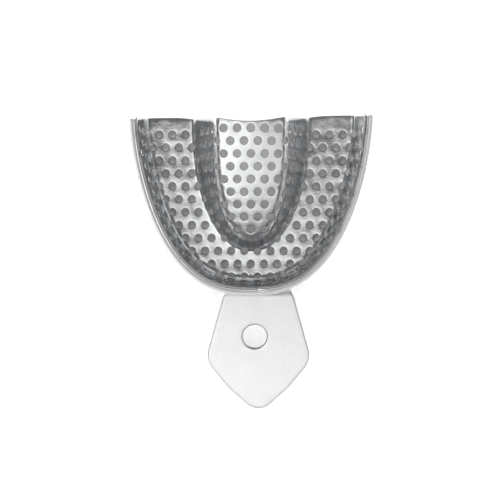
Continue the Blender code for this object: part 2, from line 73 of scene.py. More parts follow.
# Pressed pan
SHEET = 0.6 * MM
WIDEST_Y = 44.0 * MM
STRAIGHT_END = 4.0 * MM
BACK_Y = 44.8 * MM
BACK_NOTCH = 3.2 * MM
BACK_NOTCH_HALF = 24.0 * MM
BACK_SKEW = 0.4 * MM
CORNER_SETBACK = 0.7 * MM
CORNER_RADIUS = 2.2 * MM
CORNER_STEPS = 9
OUTLINE_STATION = 0.6 * MM
CORNER_CLEARANCE = OUTLINE_STATION / 4
FILL_SPACING = 0.7 * MM

# Rounding of cut edges: how much of it narrows the sheet, and where its rings of points lie
SHEET_EDGE_ROUND = 0.2 * MM
EDGE_DROP = 0.9
EDGE_RINGS = (0.3, 0.65, 1.0)

# Unevenness of the worked sheet; waves are pairs of amplitude and wave length
SHEET_WAVES = ((0.18 * MM, 6.0 * MM), (0.08 * MM, 2.4 * MM))
FOOT_RISE = 0.10 * MM
FOOT_RISE_REACH = 5.0 * MM
WALL_RISE = 0.16 * MM
WALL_RISE_REACH = 4.0 * MM
DIMPLE = 0.03 * MM
DIMPLE_REACH = 0.45 * MM
DIMPLE_RINGS = (0.42 * MM, 0.7 * MM)

# Line where the trough floor starts to bend up into the outer wall
FLOOR_HALF_WIDTH = 30.0 * MM
FLOOR_FRONT_Y = -3.3 * MM
FLOOR_EXPONENTS = (2.6, 1.6)
BEND_RADIUS = 2.5 * MM
WALL_ANGLE = math.radians(81.0)
WALL_HEIGHT = 12.0 * MM

# Line where the trough floor meets the foot of the raised palate
PALATE_HALF_WIDTH = 17.0 * MM
PALATE_FRONT_Y = 4.8 * MM
PALATE_EXPONENTS = (2.15, 2.1)
PALATE_WALL_SLOPE = math.tan(math.radians(64.0))
PALATE_FOOT_BLEND = 3.0 * MM
PALATE_EDGE_BLEND = 1.6 * MM
PALATE_HEIGHT = 14.6 * MM
PALATE_DROP = 8.0 * MM
PALATE_DROP_LENGTH = 33.0 * MM
PALATE_DROP_EXPONENT = 1.7
PALATE_CROWN = 0.9 * MM
PALATE_CROWN_HALF = 10.0 * MM

# Perforations
HOLE_RADIUS = 1.1 * MM
HOLE_SIDES = 20
HOLE_PITCH = 4.0 * MM
FLOOR_ROW_PITCH = 3.95 * MM
FLOOR_FIRST_ROW_Y = -4.0 * MM
FLOOR_ROWS = (-3, 12)
PALATE_ROW_PITCH = 3.67 * MM
PALATE_FIRST_ROW_Y = 39.6 * MM
PALATE_ROWS = 10
FLOOR_HOLES_ONTO_PALATE = 0.3 * MM
PALATE_HOLE_INSET = 1.9 * MM
HOLE_EDGE_MARGIN = 1.9 * MM
HOLE_MIN_DISTANCE = 3.1 * MM

# Rim wire, and its runs of solder: name, radius, distance off the wall, and rise from the
# wire's middle
WIRE_RADIUS = 0.75 * MM
WIRE_DROP = 0.5 * MM
WIRE_SIDES = 20
WIRE_END_INSET = 1.2 * MM
WIRE_UNEVEN = 0.02 * MM
RIM_STATION = 0.6 * MM
RIM_WAVE_LENGTH = 4.0 * MM
RIM_SOLDER_UNEVEN = 0.10 * MM
RIM_SOLDER_RUNS = (("rim_solder_above", 0.34 * MM, 0.20 * MM, 0.20 * MM),
                   ("rim_solder_below", 0.42 * MM, 0.25 * MM, -0.72 * MM))
CAP_ANGLES = np.radians((20.0, 45.0, 70.0))

# Handle plate
HANDLE_X = 2.25 * MM
HANDLE_THICKNESS = 1.5 * MM
HANDLE_DROOP = math.radians(10.0)
HANDLE_TOP_Z = 9.6 * MM
HANDLE_BEND_RADIUS = 1.6 * MM
TAB_BOTTOM_Z = 3.2 * MM
TAB_HALF_WIDTH = 8.6 * MM
TAB_CORNER_RADIUS = 1.2 * MM
TAB_CORNER_STEPS = 9
ROOT_HALF_WIDTH = 10.6 * MM
ROOT_RADIUS = 2.0 * MM
ROOT_STEPS = 5
SHOULDER_HALF_WIDTH = 16.1 * MM
SHOULDER_Y = -28.9 * MM
SHOULDER_RADIUS = 7.0 * MM
SHOULDER_STEPS = 30
CHEEK_HALF_WIDTH = 9.1 * MM
CHEEK_Y = -37.6 * MM
CHEEK_RADIUS = 20.0 * MM
CHEEK_STEPS = 8
POINT_Y = -45.9 * MM
POINT_RADIUS = 5.2 * MM
POINT_STEPS = 31
HANDLE_STATION = 0.5 * MM
HANDLE_HOLE_RADIUS = 3.5 * MM
HANDLE_HOLE_X = -1.1 * MM
HANDLE_HOLE_Y = -21.75 * MM
HANDLE_HOLE_SIDES = 64
HANDLE_EDGE_ROUND = 0.6 * MM
HANDLE_FILL_SPACING = 0.8 * MM
HANDLE_FILL_CLEARANCE = HANDLE_EDGE_ROUND + 0.35 * MM
# How far along the plate from its root the painted shade reaches
ROOT_SHADE_REACH = 30.0 * MM

# Solder round the handle's tab
FOOT_SOLDER_RADIUS = 0.4 * MM
FOOT_SOLDER_TOP_Z = 6.2 * MM
TOP_SOLDER_RADIUS = 0.3 * MM
SOLDER_CORNER_RADIUS = 1.4 * MM
SOLDER_CORNER_STEPS = 12
SOLDER_STATION = 0.35 * MM
SOLDER_SIDES = 16
SOLDER_TAPER = 0.55
SOLDER_TAPER_POWER = 8
SOLDER_WAVES = (0.14 * MM, 1.8 * MM)

# Drop of solder left on the rim, measured from the middle of the handle
DROP_X = 1.4 * MM
DROP_LENGTH = 3.6 * MM
DROP_RISE = 0.45 * MM
DROP_RADIUS = 0.75 * MM
DROP_STATIONS = 15
DROP_WAVES = (0.10 * MM, 0.9 * MM)

# Sampling of curves, and limits of the mesh tools; MERGE_DISTANCE is in millimetres
CURVE_SAMPLES = 700
CURVE_STATION = 0.1 * MM
COARSE = 16
SECTION_SAMPLES = 400
SLOPE_STEP = 0.02 * MM
FLAT_SLOPE = 1e-6
MERGE_DISTANCE = 1e-6
INSIDE_OUTLINE = 1
NARROWEST_MITRE = 0.5
SHARP_ANGLE = math.radians(50.0)
BORDER_BATCH = 50

# Worked steel: its patterns, with scales per metre, the depth of its grain, and its two sets of
# crossing scratches, each with its angle, its scale across and where its noise starts to show
CLOUD_NOISE = {"Scale": 170.0, "Detail": 5.0, "Roughness": 0.62}
CLOUD_RANGE = (0.30, 0.70)
PEEL_NOISE = {"Scale": 900.0, "Detail": 3.0, "Roughness": 0.6}
SCRATCHES = ((0.35, 9000.0, 0.45), (1.30, 7000.0, 0.55))
SCRATCH_LENGTH_SCALE = 650.0
SCRATCH_SOFTNESS = 0.25
SCRATCH_ROUGHNESS = 0.04
GRAIN_DEPTH = 0.06 * MM
# Flat grey painted as shade on the handle near its root
ROOT_SHADE_GREY = (0.77, 0.77, 0.77, 1.0)

# Studio floor
FLOOR_HALF = 0.9
FLOOR_DROP = 0.05 * MM
PAPER_SCALE = 900.0
PAPER_TONES = ((0.2, 0.41), (0.8, 0.45))
PAPER_ROUGHNESS = 0.9
PAPER_SPECULAR = 0.1

# Surround: a softbox overhead in front, whose level changes from left to right, and a backdrop
# that is dimmer low on the left; edges are where a level starts and stops changing
SOFTBOX = 1.6
SOFTBOX_TOWARD = (-0.17, -0.985, 0.0)
SOFTBOX_EDGE = (-0.13, -0.02)
SOFTBOX_FOOT = (0.68, 0.82)
SIDE_REACH = 0.5
SIDE_LEVELS = ((0.00, 0.70), (0.07, 0.84), (0.16, 0.80), (0.40, 0.64), (0.50, 0.59),
               (0.57, 0.53), (0.63, 0.46), (0.80, 0.50), (0.97, 0.35))
OVERHEAD = 0.16
BACKDROP = 0.60
BACKDROP_LEFT = 0.35
BACKDROP_LEFT_EDGE = (-0.75, -0.35)
BACKDROP_TOP = (0.20, 0.45)

# Lamps: turn is the compass angle they shine from, rise their height above the horizon, and
# wash the light that they give on level ground
FLOOR_LAMPS = 12
FLOOR_LAMP_RISE = math.radians(16.0)
FLOOR_LAMP_WASH = 1.02
BACK_LAMP_TURNS = (math.radians(75.0), math.radians(105.0))
BACK_LAMP_RISE = math.radians(34.0)
BACK_LAMP_WASH = 0.37
RIM_FILL_TURN = math.radians(190.0)
RIM_FILL_RISE = math.radians(50.0)
RIM_FILL_WASH = 0.4
LAMP_SPREAD = math.radians(25.0)
LAMP_DISTANCE = 0.5

# Unseen flag: the strip round the foot of the wall, and the net across the palate's mouth,
# which stands behind the back edge by a share of the palate's height
FLAG_REACH = 3.6 * MM
FLAG_HEIGHT = 1.8 * MM
NET_REACH = 0.11
NET_PITCH = 0.5 * MM
NET_DENSITY = 0.95
NET_STATIONS = 25

# Camera; RIM_SHARE is how much of the picture's width the rim takes up
CAMERA_X = -0.3 * MM
CAMERA_Y = 3.55 * MM
CAMERA_HEIGHT = 300.0 * MM
CAMERA_SENSOR = 36.0
CAMERA_CLIP = (0.01, 5.0)
RIM_SHARE = 0.490


# ---------------------------------------------------------------- plan curves

def evenly_spaced(curve, spacing):
    """Points along a curve at nearly equal spacing, both ends included."""
    run = np.concatenate([[0.0], np.cumsum(np.linalg.norm(np.diff(curve, axis=0), axis=1))])
    count = max(2, round(run[-1] / spacing) + 1)
    stations = np.linspace(0.0, run[-1], count)
    return np.stack([np.interp(stations, run, curve[:, axis]) for axis in (0, 1)], axis=1)


def superellipse(half_width, front_y, exponents):
    """U-shaped plan curve from the +X end of the back edge, round the front, to the -X end."""
    across, along = exponents
    angle = np.linspace(0.0, math.pi / 2, CURVE_SAMPLES)
    x = half_width * np.cos(angle) ** (2 / across)
    y = WIDEST_Y - (WIDEST_Y - front_y) * np.sin(angle) ** (2 / along)
    right = np.concatenate([[(half_width, WIDEST_Y + STRAIGHT_END)], np.stack([x, y], axis=1)])
    left = right[-2::-1] * (-1, 1)
    return evenly_spaced(np.concatenate([right, left]), CURVE_STATION)


def outward_normals(curve):
    """Unit normals of a U-shaped curve, pointing away from the inside of the U."""
    step = np.gradient(curve, axis=0)
    step /= np.linalg.norm(step, axis=1)[:, None]
    return np.stack([-step[:, 1], step[:, 0]], axis=1)


def nearest_on_curve(points, curve):
    """Signed distance (outside positive), foot point and outward normal for each point."""
    coarse = curve[::COARSE]
    apart = np.linalg.norm(points[:, None] - coarse[None], axis=-1)
    first = apart.argmin(axis=1) * COARSE
    window = np.clip(first[:, None] + np.arange(-COARSE, COARSE)[None], 0, len(curve) - 2)
    start = curve[window]
    leg = curve[window + 1] - start
    offset = points[:, None] - start
    share = np.clip((offset * leg).sum(-1) / (leg * leg).sum(-1), 0.0, 1.0)
    apart = np.linalg.norm(offset - share[..., None] * leg, axis=-1)
    best = apart.argmin(axis=1)
    rows = np.arange(len(points))
    share = share[rows, best][:, None]
    foot = start[rows, best] + share * leg[rows, best]
    normals = outward_normals(curve)
    segment = window[rows, best]
    normal = normals[segment] * (1 - share) + normals[segment + 1] * share
    normal /= np.linalg.norm(normal, axis=1)[:, None]
    return ((points - foot) * normal).sum(axis=1), foot, normal


def offset_curve(curve, distance):
    """Curve moved outwards by a distance."""
    return curve + outward_normals(curve) * distance


FLOOR_LINE = superellipse(FLOOR_HALF_WIDTH, FLOOR_FRONT_Y, FLOOR_EXPONENTS)
PALATE_LINE = superellipse(PALATE_HALF_WIDTH, PALATE_FRONT_Y, PALATE_EXPONENTS)


# ------------------------------------------------------------- pan's pressed form

def smooth_max(a, b, blend):
    """Larger of two heights, rounded where they differ by less than the blend."""
    reach = np.maximum(blend - np.abs(a - b), 0.0) / blend
    return np.maximum(a, b) + reach * reach * blend / 4


def smooth_min(a, b, blend):
    """Smaller of two heights, rounded where they differ by less than the blend."""
    return -smooth_max(-a, -b, blend)


def palate_ridge(y):
    """Height of the palate's edge, which drops in a curve towards the front."""
    towards_front = np.clip((WIDEST_Y - y) / PALATE_DROP_LENGTH, 0.0, None)
    drop = PALATE_DROP * towards_front ** PALATE_DROP_EXPONENT
    return np.maximum(PALATE_HEIGHT - drop, PALATE_EDGE_BLEND)


def palate_height(points):
    """Height of the pressed palate above the trough floor at plan points."""
    inside = -nearest_on_curve(points, PALATE_LINE)[0]
    wall = smooth_max(PALATE_WALL_SLOPE * inside, np.zeros(len(points)), PALATE_FOOT_BLEND)
    crown = PALATE_CROWN * np.maximum(1 - (points[:, 0] / PALATE_CROWN_HALF) ** 2, 0.0)
    return smooth_min(wall, palate_ridge(points[:, 1]) + crown, PALATE_EDGE_BLEND)


def palate_gradient(points):
    """Slope of the palate along x and along y at plan points."""
    slope = []
    for step in np.eye(2) * SLOPE_STEP:
        rise = palate_height(points + step) - palate_height(points - step)
        slope.append(rise / (2 * SLOPE_STEP))
    return np.stack(slope, axis=1)


def wall_profile(developed):
    """Outward reach, height and steepness of the outer wall after a developed length."""
    angle = np.minimum(developed / BEND_RADIUS, WALL_ANGLE)
    straight = np.maximum(developed - BEND_RADIUS * WALL_ANGLE, 0.0)
    reach = BEND_RADIUS * np.sin(angle) + straight * math.cos(WALL_ANGLE)
    height = BEND_RADIUS * (1 - np.cos(angle)) + straight * math.sin(WALL_ANGLE)
    return reach, height, angle


def wall_developed_length():
    """Length along the middle of the sheet from the floor to the wall's top edge."""
    bend = BEND_RADIUS * WALL_ANGLE
    bend_height = BEND_RADIUS * (1 - math.cos(WALL_ANGLE))
    straight = (WALL_HEIGHT - SHEET / 2 - bend_height) / math.sin(WALL_ANGLE)
    return bend + straight


def waviness(points, amplitude, wave_length):
    """Gentle unevenness of worked metal, as a height of 0 to amplitude for each point."""
    heights = np.array([noise.noise(Vector(p) / wave_length) for p in points])
    return amplitude * (0.5 + 0.5 * heights)


def sheet_unevenness(middle, distance, blank):
    """How far worked sheet stands off its ideal form: waves, and a rise to either wall."""
    height = sum(waviness(middle, *wave) for wave in SHEET_WAVES)
    to_palate = nearest_on_curve(blank, PALATE_LINE)[0]
    near_palate = np.clip(1 - to_palate / FOOT_RISE_REACH, 0.0, 1.0)
    near_palate *= np.clip(1 + to_palate / FOOT_RISE_REACH, 0.0, 1.0)
    near_wall = np.clip(1 - np.abs(distance) / WALL_RISE_REACH, 0.0, 1.0)
    return height + FOOT_RISE * near_palate ** 2 + WALL_RISE * near_wall ** 2


def dimple_depth(blank, centres):
    """How far the sheet is drawn down round the nearest punched hole."""
    nearest = np.full(len(blank), np.inf)
    for centre in centres:
        nearest = np.minimum(nearest, np.linalg.norm(blank - centre, axis=1))
    beyond = np.maximum(nearest - HOLE_RADIUS, 0.0)
    return DIMPLE * np.exp(-(beyond / DIMPLE_REACH) ** 2)


def press_pan(blank):
    """Place flat blank points on the middle surface of the pressed pan, with normals."""
    distance, foot, normal = nearest_on_curve(blank, FLOOR_LINE)
    gradient = palate_gradient(blank)
    flat = np.column_stack([blank, palate_height(blank)])
    flat_normal = np.column_stack([-gradient, np.ones(len(blank))])
    flat_normal /= np.linalg.norm(flat_normal, axis=1)[:, None]
    reach, height, angle = wall_profile(np.maximum(distance, 0.0))
    wall = np.column_stack([foot + normal * reach[:, None], height])
    wall_normal = np.column_stack([-normal * np.sin(angle)[:, None], np.cos(angle)])
    on_wall = (distance > 0.0)[:, None]
    middle = np.where(on_wall, wall, flat)
    middle[:, 2] += SHEET / 2
    surface_normal = np.where(on_wall, wall_normal, flat_normal)
    uneven = sheet_unevenness(middle, distance, blank)
    return middle + surface_normal * uneven[:, None], surface_normal


# ----------------------------------------------------------------- sheet pieces

def inside_polygon(points, polygon):
    """Even-odd test of plan points against a closed polygon."""
    x, y = points[:, 0], points[:, 1]
    inside = np.zeros(len(points), dtype=bool)
    for (x0, y0), (x1, y1) in zip(polygon, np.roll(polygon, -1, axis=0)):
        if y0 != y1:
            crosses = ((y0 > y) != (y1 > y)) & (x < (x1 - x0) * (y - y0) / (y1 - y0) + x0)
            inside ^= crosses
    return inside


def inset_loop(loop, distance):
    """Closed loop moved towards its left by a distance."""
    ahead = np.roll(loop, -1, axis=0) - loop
    ahead /= np.linalg.norm(ahead, axis=1)[:, None]
    behind = np.roll(ahead, 1, axis=0)
    along = ahead + behind
    along /= np.linalg.norm(along, axis=1)[:, None]
    left = np.stack([-along[:, 1], along[:, 0]], axis=1)
    narrowing = (left * np.stack([-ahead[:, 1], ahead[:, 0]], axis=1)).sum(axis=1)
    return loop + left * (distance / np.maximum(narrowing, NARROWEST_MITRE))[:, None]


def triangulate(outline, holes, edge_drop, rings, fill_points):
    """Triangles of a flat outline with holes, and each point's drop below the full thickness:
    edge_drop at the cut edges, that of its ring on each (ring, drop) of rings, else none."""
    points = [p for loop in [outline, *holes] for p in loop]
    drops = [edge_drop] * len(points)
    edges = []
    first = 0
    for loop in [outline, *holes]:
        count = len(loop)
        edges += [(first + i, first + (i + 1) % count) for i in range(count)]
        first += count
    for ring, drop in rings:
        points += list(ring)
        drops += [drop] * len(ring)
    points += list(fill_points)
    drops += [0.0] * len(fill_points)
    scaled = [Vector((p[0] / MM, p[1] / MM)) for p in points]
    result = delaunay_2d_cdt(scaled, edges, [], INSIDE_OUTLINE, MERGE_DISTANCE)
    flat = np.array([tuple(p) for p in result[0]]) * MM
    drop = np.array([drops[source[0]] if source else 0.0 for source in result[3]])
    triangles = np.array(result[2])
    centres = flat[triangles].mean(axis=1)
    keep = inside_polygon(centres, outline)
    for hole in holes:
        middle = hole.mean(axis=0)
        reach = np.linalg.norm(hole - middle, axis=1).max()
        near = np.flatnonzero(np.linalg.norm(centres - middle, axis=1) < reach)
        keep[near[inside_polygon(centres[near], hole)]] = False
    return flat, drop, triangles[keep]


def thick_sheet(name, outline, holes, fill_points, form, thickness, edge_round, material):
    """Closed solid of a formed sheet whose edges are rounded off on both faces."""
    edge_drop = edge_round * EDGE_DROP
    rings = []
    for share in EDGE_RINGS:
        ring_drop = edge_drop * (1 - math.sqrt(1 - (1 - share) ** 2))
        rings.append((inset_loop(outline, edge_sign(outline) * share * edge_round), ring_drop))
        for hole in holes:
            rings.append((inset_loop(hole, -edge_sign(hole) * share * edge_round), ring_drop))
    flat, drop, triangles = triangulate(outline, holes, edge_drop, rings, fill_points)
    middle, normal = form(flat)
    half = (thickness / 2 - drop)[:, None]
    vertices = np.concatenate([middle + normal * half, middle - normal * half])
    count = len(flat)
    faces = [tuple(t) for t in triangles] + [tuple(t[::-1] + count) for t in triangles]
    directed = {(t[i], t[(i + 1) % 3]) for t in triangles.tolist() for i in range(3)}
    border = sorted(edge for edge in directed if edge[::-1] not in directed)
    faces += [(a, a + count, b + count, b) for a, b in border]
    return add_object(name, vertices, faces, material, np.tile(drop / edge_drop, 2))


def edge_sign(loop):
    """1 for a loop that runs anticlockwise, else -1."""
    x, y = loop[:, 0], loop[:, 1]
    return math.copysign(1.0, (x * np.roll(y, -1) - y * np.roll(x, -1)).sum())


def tag_points(mesh, tag, values):
    """Store a value per vertex for the materials to read."""
    mesh.attributes.new(tag, "FLOAT", "POINT").data.foreach_set("value", values.astype(np.float32))


def add_object(name, vertices, faces, material, edge=None):
    """New object; edge says how far each vertex is rounded off, from 0 to 1 on a cut edge, where
    the materials paint shade.
    """
    mesh = bpy.data.meshes.new(name)
    mesh.from_pydata([tuple(v) for v in vertices], [], [tuple(map(int, f)) for f in faces])
    if edge is not None:
        tag_points(mesh, "edge", edge)
    mesh.shade_smooth()
    mesh.set_sharp_from_angle(angle=SHARP_ANGLE)
    mesh.materials.append(material)
    piece = bpy.data.objects.new(name, mesh)
    bpy.context.scene.collection.objects.link(piece)
    return piece


def fill_grid(outline, loops, clearance, spacing):
    """Points on a triangular grid inside an outline, kept clear of all the given loops."""
    low, high = outline.min(axis=0), outline.max(axis=0)
    rows = np.arange(low[1], high[1], spacing * math.sqrt(3) / 2)
    points = []
    for index, y in enumerate(rows):
        x = np.arange(low[0] + (index % 2) * spacing / 2, high[0], spacing)
        points.append(np.stack([x, np.full(len(x), y)], axis=1))
    points = np.concatenate(points)
    points = points[inside_polygon(points, outline)]
    border = np.concatenate([outline, outline[:1]])
    keep = np.ones(len(points), dtype=bool)
    for loop in loops:
        middle = loop.mean(axis=0)
        reach = np.linalg.norm(loop - middle, axis=1)
        offset = points - middle
        apart = np.linalg.norm(offset, axis=1)
        near = np.flatnonzero(apart < reach.max() + clearance)
        if len(near):
            gaps = np.linalg.norm(points[near][:, None] - loop[None], axis=-1).min(axis=1)
            blocked = (gaps < clearance) | inside_polygon(points[near], loop)
            keep[near[blocked]] = False
    points = points[keep]
    room = np.full(len(points), np.inf)
    for first in range(0, len(border), BORDER_BATCH):
        batch = border[None, first:first + BORDER_BATCH]
        gaps = np.linalg.norm(points[:, None] - batch, axis=-1)
        room = np.minimum(room, gaps.min(axis=1))
    return points[room > clearance]


# ------------------------------------------------------------------ tray pan

def back_edge_y(x):
    """Back edge of the blank: hollowed over the palate, set back up the outer walls."""
    over_palate = np.clip(x / BACK_NOTCH_HALF, -1.0, 1.0)
    up_wall = np.clip((np.abs(x) - FLOOR_HALF_WIDTH) / wall_developed_length(), 0.0, 1.0)
    notch = BACK_NOTCH * np.cos(over_palate * math.pi / 2) ** 2
    return BACK_Y - notch - CORNER_SETBACK * up_wall + BACK_SKEW * x / FLOOR_HALF_WIDTH


def pan_outline():
    """Blank outline: the wall's top edge, rounded back corners and the shaped back edge."""
    top = offset_curve(FLOOR_LINE, wall_developed_length())
    inner_x = top[0, 0] - CORNER_RADIUS
    turn = np.radians(np.linspace(90.0, 0.0, CORNER_STEPS))
    corner = CORNER_RADIUS * np.stack([np.cos(turn), np.sin(turn)], axis=1)
    corners = {}
    for side in (1, -1):
        centre_y = back_edge_y(side * inner_x) - CORNER_RADIUS
        corners[side] = (corner + (inner_x, centre_y)) * (side, 1)
    below = np.where(top[:, 0] > 0, corners[1][-1, 1], corners[-1][-1, 1])
    along_wall = evenly_spaced(top[top[:, 1] < below - CORNER_CLEARANCE], OUTLINE_STATION)
    count = round(2 * inner_x / OUTLINE_STATION)
    x = np.linspace(-inner_x, inner_x, count)[1:-1]
    back = np.stack([x, back_edge_y(x)], axis=1)
    return np.concatenate([corners[1], along_wall, corners[-1][::-1], back])


def lattice_row(y, pitch, shifted, half_width):
    """Hole centres of one straight row, every second row shifted by half a pitch."""
    start = pitch / 2 if shifted else 0.0
    right = np.arange(start, half_width, pitch)
    x = np.unique(np.concatenate([-right, right]))
    return np.stack([x, np.full(len(x), y)], axis=1)


def palate_row(y, shifted):
    """Hole centres of one palate row, spaced along the curved surface from the middle."""
    x = np.linspace(0.0, PALATE_HALF_WIDTH, SECTION_SAMPLES)
    section = palate_height(np.stack([x, np.full(len(x), y)], axis=1))
    run = np.concatenate([[0.0], np.cumsum(np.hypot(np.diff(x), np.diff(section)))])
    developed = lattice_row(y, HOLE_PITCH, shifted, run[-1])
    developed[:, 0] = np.sign(developed[:, 0]) * np.interp(np.abs(developed[:, 0]), run, x)
    return developed


def hole_centres(outline):
    """Centres of all perforations in the blank."""
    floor = []
    for row in range(*FLOOR_ROWS):
        y = FLOOR_FIRST_ROW_Y + row * FLOOR_ROW_PITCH
        floor.append(lattice_row(y, HOLE_PITCH, row % 2 == 0, 2 * FLOOR_HALF_WIDTH))
    floor = np.concatenate(floor)
    floor = floor[nearest_on_curve(floor, PALATE_LINE)[0] > -FLOOR_HOLES_ONTO_PALATE]
    palate = []
    for row in range(PALATE_ROWS):
        palate.append(palate_row(PALATE_FIRST_ROW_Y - row * PALATE_ROW_PITCH, row % 2 == 1))
    palate = np.concatenate(palate)
    palate = palate[nearest_on_curve(palate, PALATE_LINE)[0] < -PALATE_HOLE_INSET]
    apart = np.linalg.norm(press_pan(palate)[0][:, None] - press_pan(floor)[0][None], axis=-1)
    palate = palate[apart.min(axis=1) > HOLE_MIN_DISTANCE]
    centres = np.concatenate([floor, palate])
    gaps = np.linalg.norm(centres[:, None] - outline[None], axis=-1).min(axis=1)
    return centres[(gaps > HOLE_EDGE_MARGIN) & inside_polygon(centres, outline)]


def hole_outline(centre):
    """Outline in the blank of a hole that is round on the formed surface."""
    slope = palate_gradient(centre[None])[0]
    steepness = np.linalg.norm(slope)
    uphill = slope / steepness if steepness > FLAT_SLOPE else np.array([1.0, 0.0])
    level = np.array([-uphill[1], uphill[0]])
    turn = (np.arange(HOLE_SIDES) + 0.5) * 2 * math.pi / HOLE_SIDES
    narrow = 1 / math.sqrt(1 + steepness ** 2)
    along = np.cos(turn)[:, None] * narrow * uphill + np.sin(turn)[:, None] * level
    return centre + HOLE_RADIUS * along


def make_tray_pan(material):
    """The perforated sheet, with extra rings of points where it dimples round the holes."""
    outline = pan_outline()
    centres = hole_centres(outline)
    holes = [hole_outline(centre) for centre in centres]
    fill = fill_grid(outline, holes, DIMPLE_RINGS[-1] + FILL_SPACING / 2, FILL_SPACING)
    for hole in holes:
        for reach in DIMPLE_RINGS:
            fill = np.concatenate([fill, inset_loop(hole, -edge_sign(hole) * reach)])

    def form(blank):
        middle, normal = press_pan(blank)
        return middle - normal * dimple_depth(blank, centres)[:, None], normal

    pan = thick_sheet("pressed_pan", outline, holes, fill, form, SHEET,
                      SHEET_EDGE_ROUND, material)
    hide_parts("tray_pan")
    return pan


# ------------------------------------------------------------------- rim wire

def sweep(name, path, radii, sides, across, material):
    """Closed tube with domed ends along a path; across is never the path's direction."""
    tangent = np.gradient(path, axis=0)
    tangent /= np.linalg.norm(tangent, axis=1)[:, None]
    caps, reach = np.sin(CAP_ANGLES), np.cos(CAP_ANGLES)
    head = [path[0] - tangent[0] * radii[0] * r for r in reach]
    tail = [path[-1] + tangent[-1] * radii[-1] * r for r in reach[::-1]]
    path = np.concatenate([head, path, tail])
    count = len(CAP_ANGLES)
    tangent = np.concatenate([[tangent[0]] * count, tangent, [tangent[-1]] * count])
    radii = np.concatenate([radii[0] * caps, radii, radii[-1] * caps[::-1]])
    side = np.cross(tangent, across)
    side /= np.linalg.norm(side, axis=1)[:, None]
    rise = np.cross(side, tangent)
    turn = np.arange(sides) * 2 * math.pi / sides
    ring = np.cos(turn)[None, :, None] * side[:, None] + np.sin(turn)[None, :, None] * rise[:, None]
    vertices = (path[:, None] + ring * radii[:, None, None]).reshape(-1, 3)
    faces = []
    for station in range(len(path) - 1):
        for i in range(sides):
            a = station * sides + i
            b = station * sides + (i + 1) % sides
            faces.append((a, a + sides, b + sides, b))
    last = (len(path) - 1) * sides
    faces.append(tuple(range(sides)))
    faces.append(tuple(last + i for i in range(sides))[::-1])
    return add_object(name, vertices, faces, material)


def wall_face_reach(z):
    """Reach of the wall's outer face beyond the floor line at height z."""
    above_bend = z - SHEET / 2 - BEND_RADIUS * (1 - math.cos(WALL_ANGLE))
    middle = BEND_RADIUS * math.sin(WALL_ANGLE) + above_bend / math.tan(WALL_ANGLE)
    return middle + SHEET / 2 / math.sin(WALL_ANGLE)


def rim_tube(name, radius, outward, z, uneven, material):
    """Round bar along the outer face of the wall, its middle outward metres off that face."""
    curve = offset_curve(FLOOR_LINE, wall_face_reach(z) + outward)
    wall_top_x = FLOOR_HALF_WIDTH + wall_developed_length()
    end_y = back_edge_y(np.copysign(wall_top_x, curve[:, 0]))
    curve = curve[curve[:, 1] < end_y - WIRE_END_INSET]
    stations = evenly_spaced(curve, RIM_STATION)
    path = np.column_stack([stations, np.full(len(stations), z)])
    radii = radius + waviness(path, uneven, RIM_WAVE_LENGTH)
    return sweep(name, path, radii, WIRE_SIDES, (0.0, 0.0, 1.0), material)


def make_rim(wire_material, solder_material):
    """The wire along the rim, and a run of solder above and below it."""
    wire_z = WALL_HEIGHT - WIRE_DROP
    wire = rim_tube("rim_round_wire", WIRE_RADIUS, GAP + WIRE_RADIUS, wire_z, WIRE_UNEVEN,
                    wire_material)
    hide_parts("rim_wire")
    pieces = [wire]
    for name, radius, outward, rise in RIM_SOLDER_RUNS:
        solder = rim_tube(name, radius, outward, wire_z + rise, RIM_SOLDER_UNEVEN,
                          solder_material)
        pieces.append(solder)
    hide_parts("rim_solder_seam")
    return pieces


# --------------------------------------------------------------------- handle

def handle_lengths():
    """Lengths of the tab and of the bend along the middle of the plate."""
    bend_rise = HANDLE_BEND_RADIUS * (1 - math.cos(WALL_ANGLE))
    tab_rise = HANDLE_TOP_Z - HANDLE_THICKNESS / 2 - TAB_BOTTOM_Z - bend_rise
    return tab_rise / math.sin(WALL_ANGLE), HANDLE_BEND_RADIUS * (WALL_ANGLE + HANDLE_DROOP)


def handle_course(along):
    """Distance outwards, rise and heading of the plate's middle at lengths along it."""
    tab_length, bend_length = handle_lengths()
    in_tab = np.minimum(along, tab_length)
    in_bend = np.clip(along - tab_length, 0.0, bend_length)
    in_blade = np.maximum(along - tab_length - bend_length, 0.0)
    heading = WALL_ANGLE - in_bend / HANDLE_BEND_RADIUS
    out = in_tab * math.cos(WALL_ANGLE) + in_blade * math.cos(HANDLE_DROOP)
    out += HANDLE_BEND_RADIUS * (math.sin(WALL_ANGLE) - np.sin(heading))
    rise = in_tab * math.sin(WALL_ANGLE) - in_blade * math.sin(HANDLE_DROOP)
    rise += HANDLE_BEND_RADIUS * (np.cos(heading) - math.cos(WALL_ANGLE))
    return out, rise, heading


def wall_front(x, reach):
    """Y and sideways slope, at x, of the front of the floor line moved outwards by reach."""
    curve = offset_curve(FLOOR_LINE, reach)[::-1]
    curve = curve[np.abs(curve[:, 0]) < FLOOR_HALF_WIDTH / 2]
    slope = np.gradient(curve[:, 1], curve[:, 0])
    return np.interp(x, curve[:, 0], curve[:, 1]), np.interp(x, curve[:, 0], slope)


def tab_reach():
    """Distance of the middle of the tab's foot beyond the floor line."""
    return wall_face_reach(TAB_BOTTOM_Z) + GAP + HANDLE_THICKNESS / 2


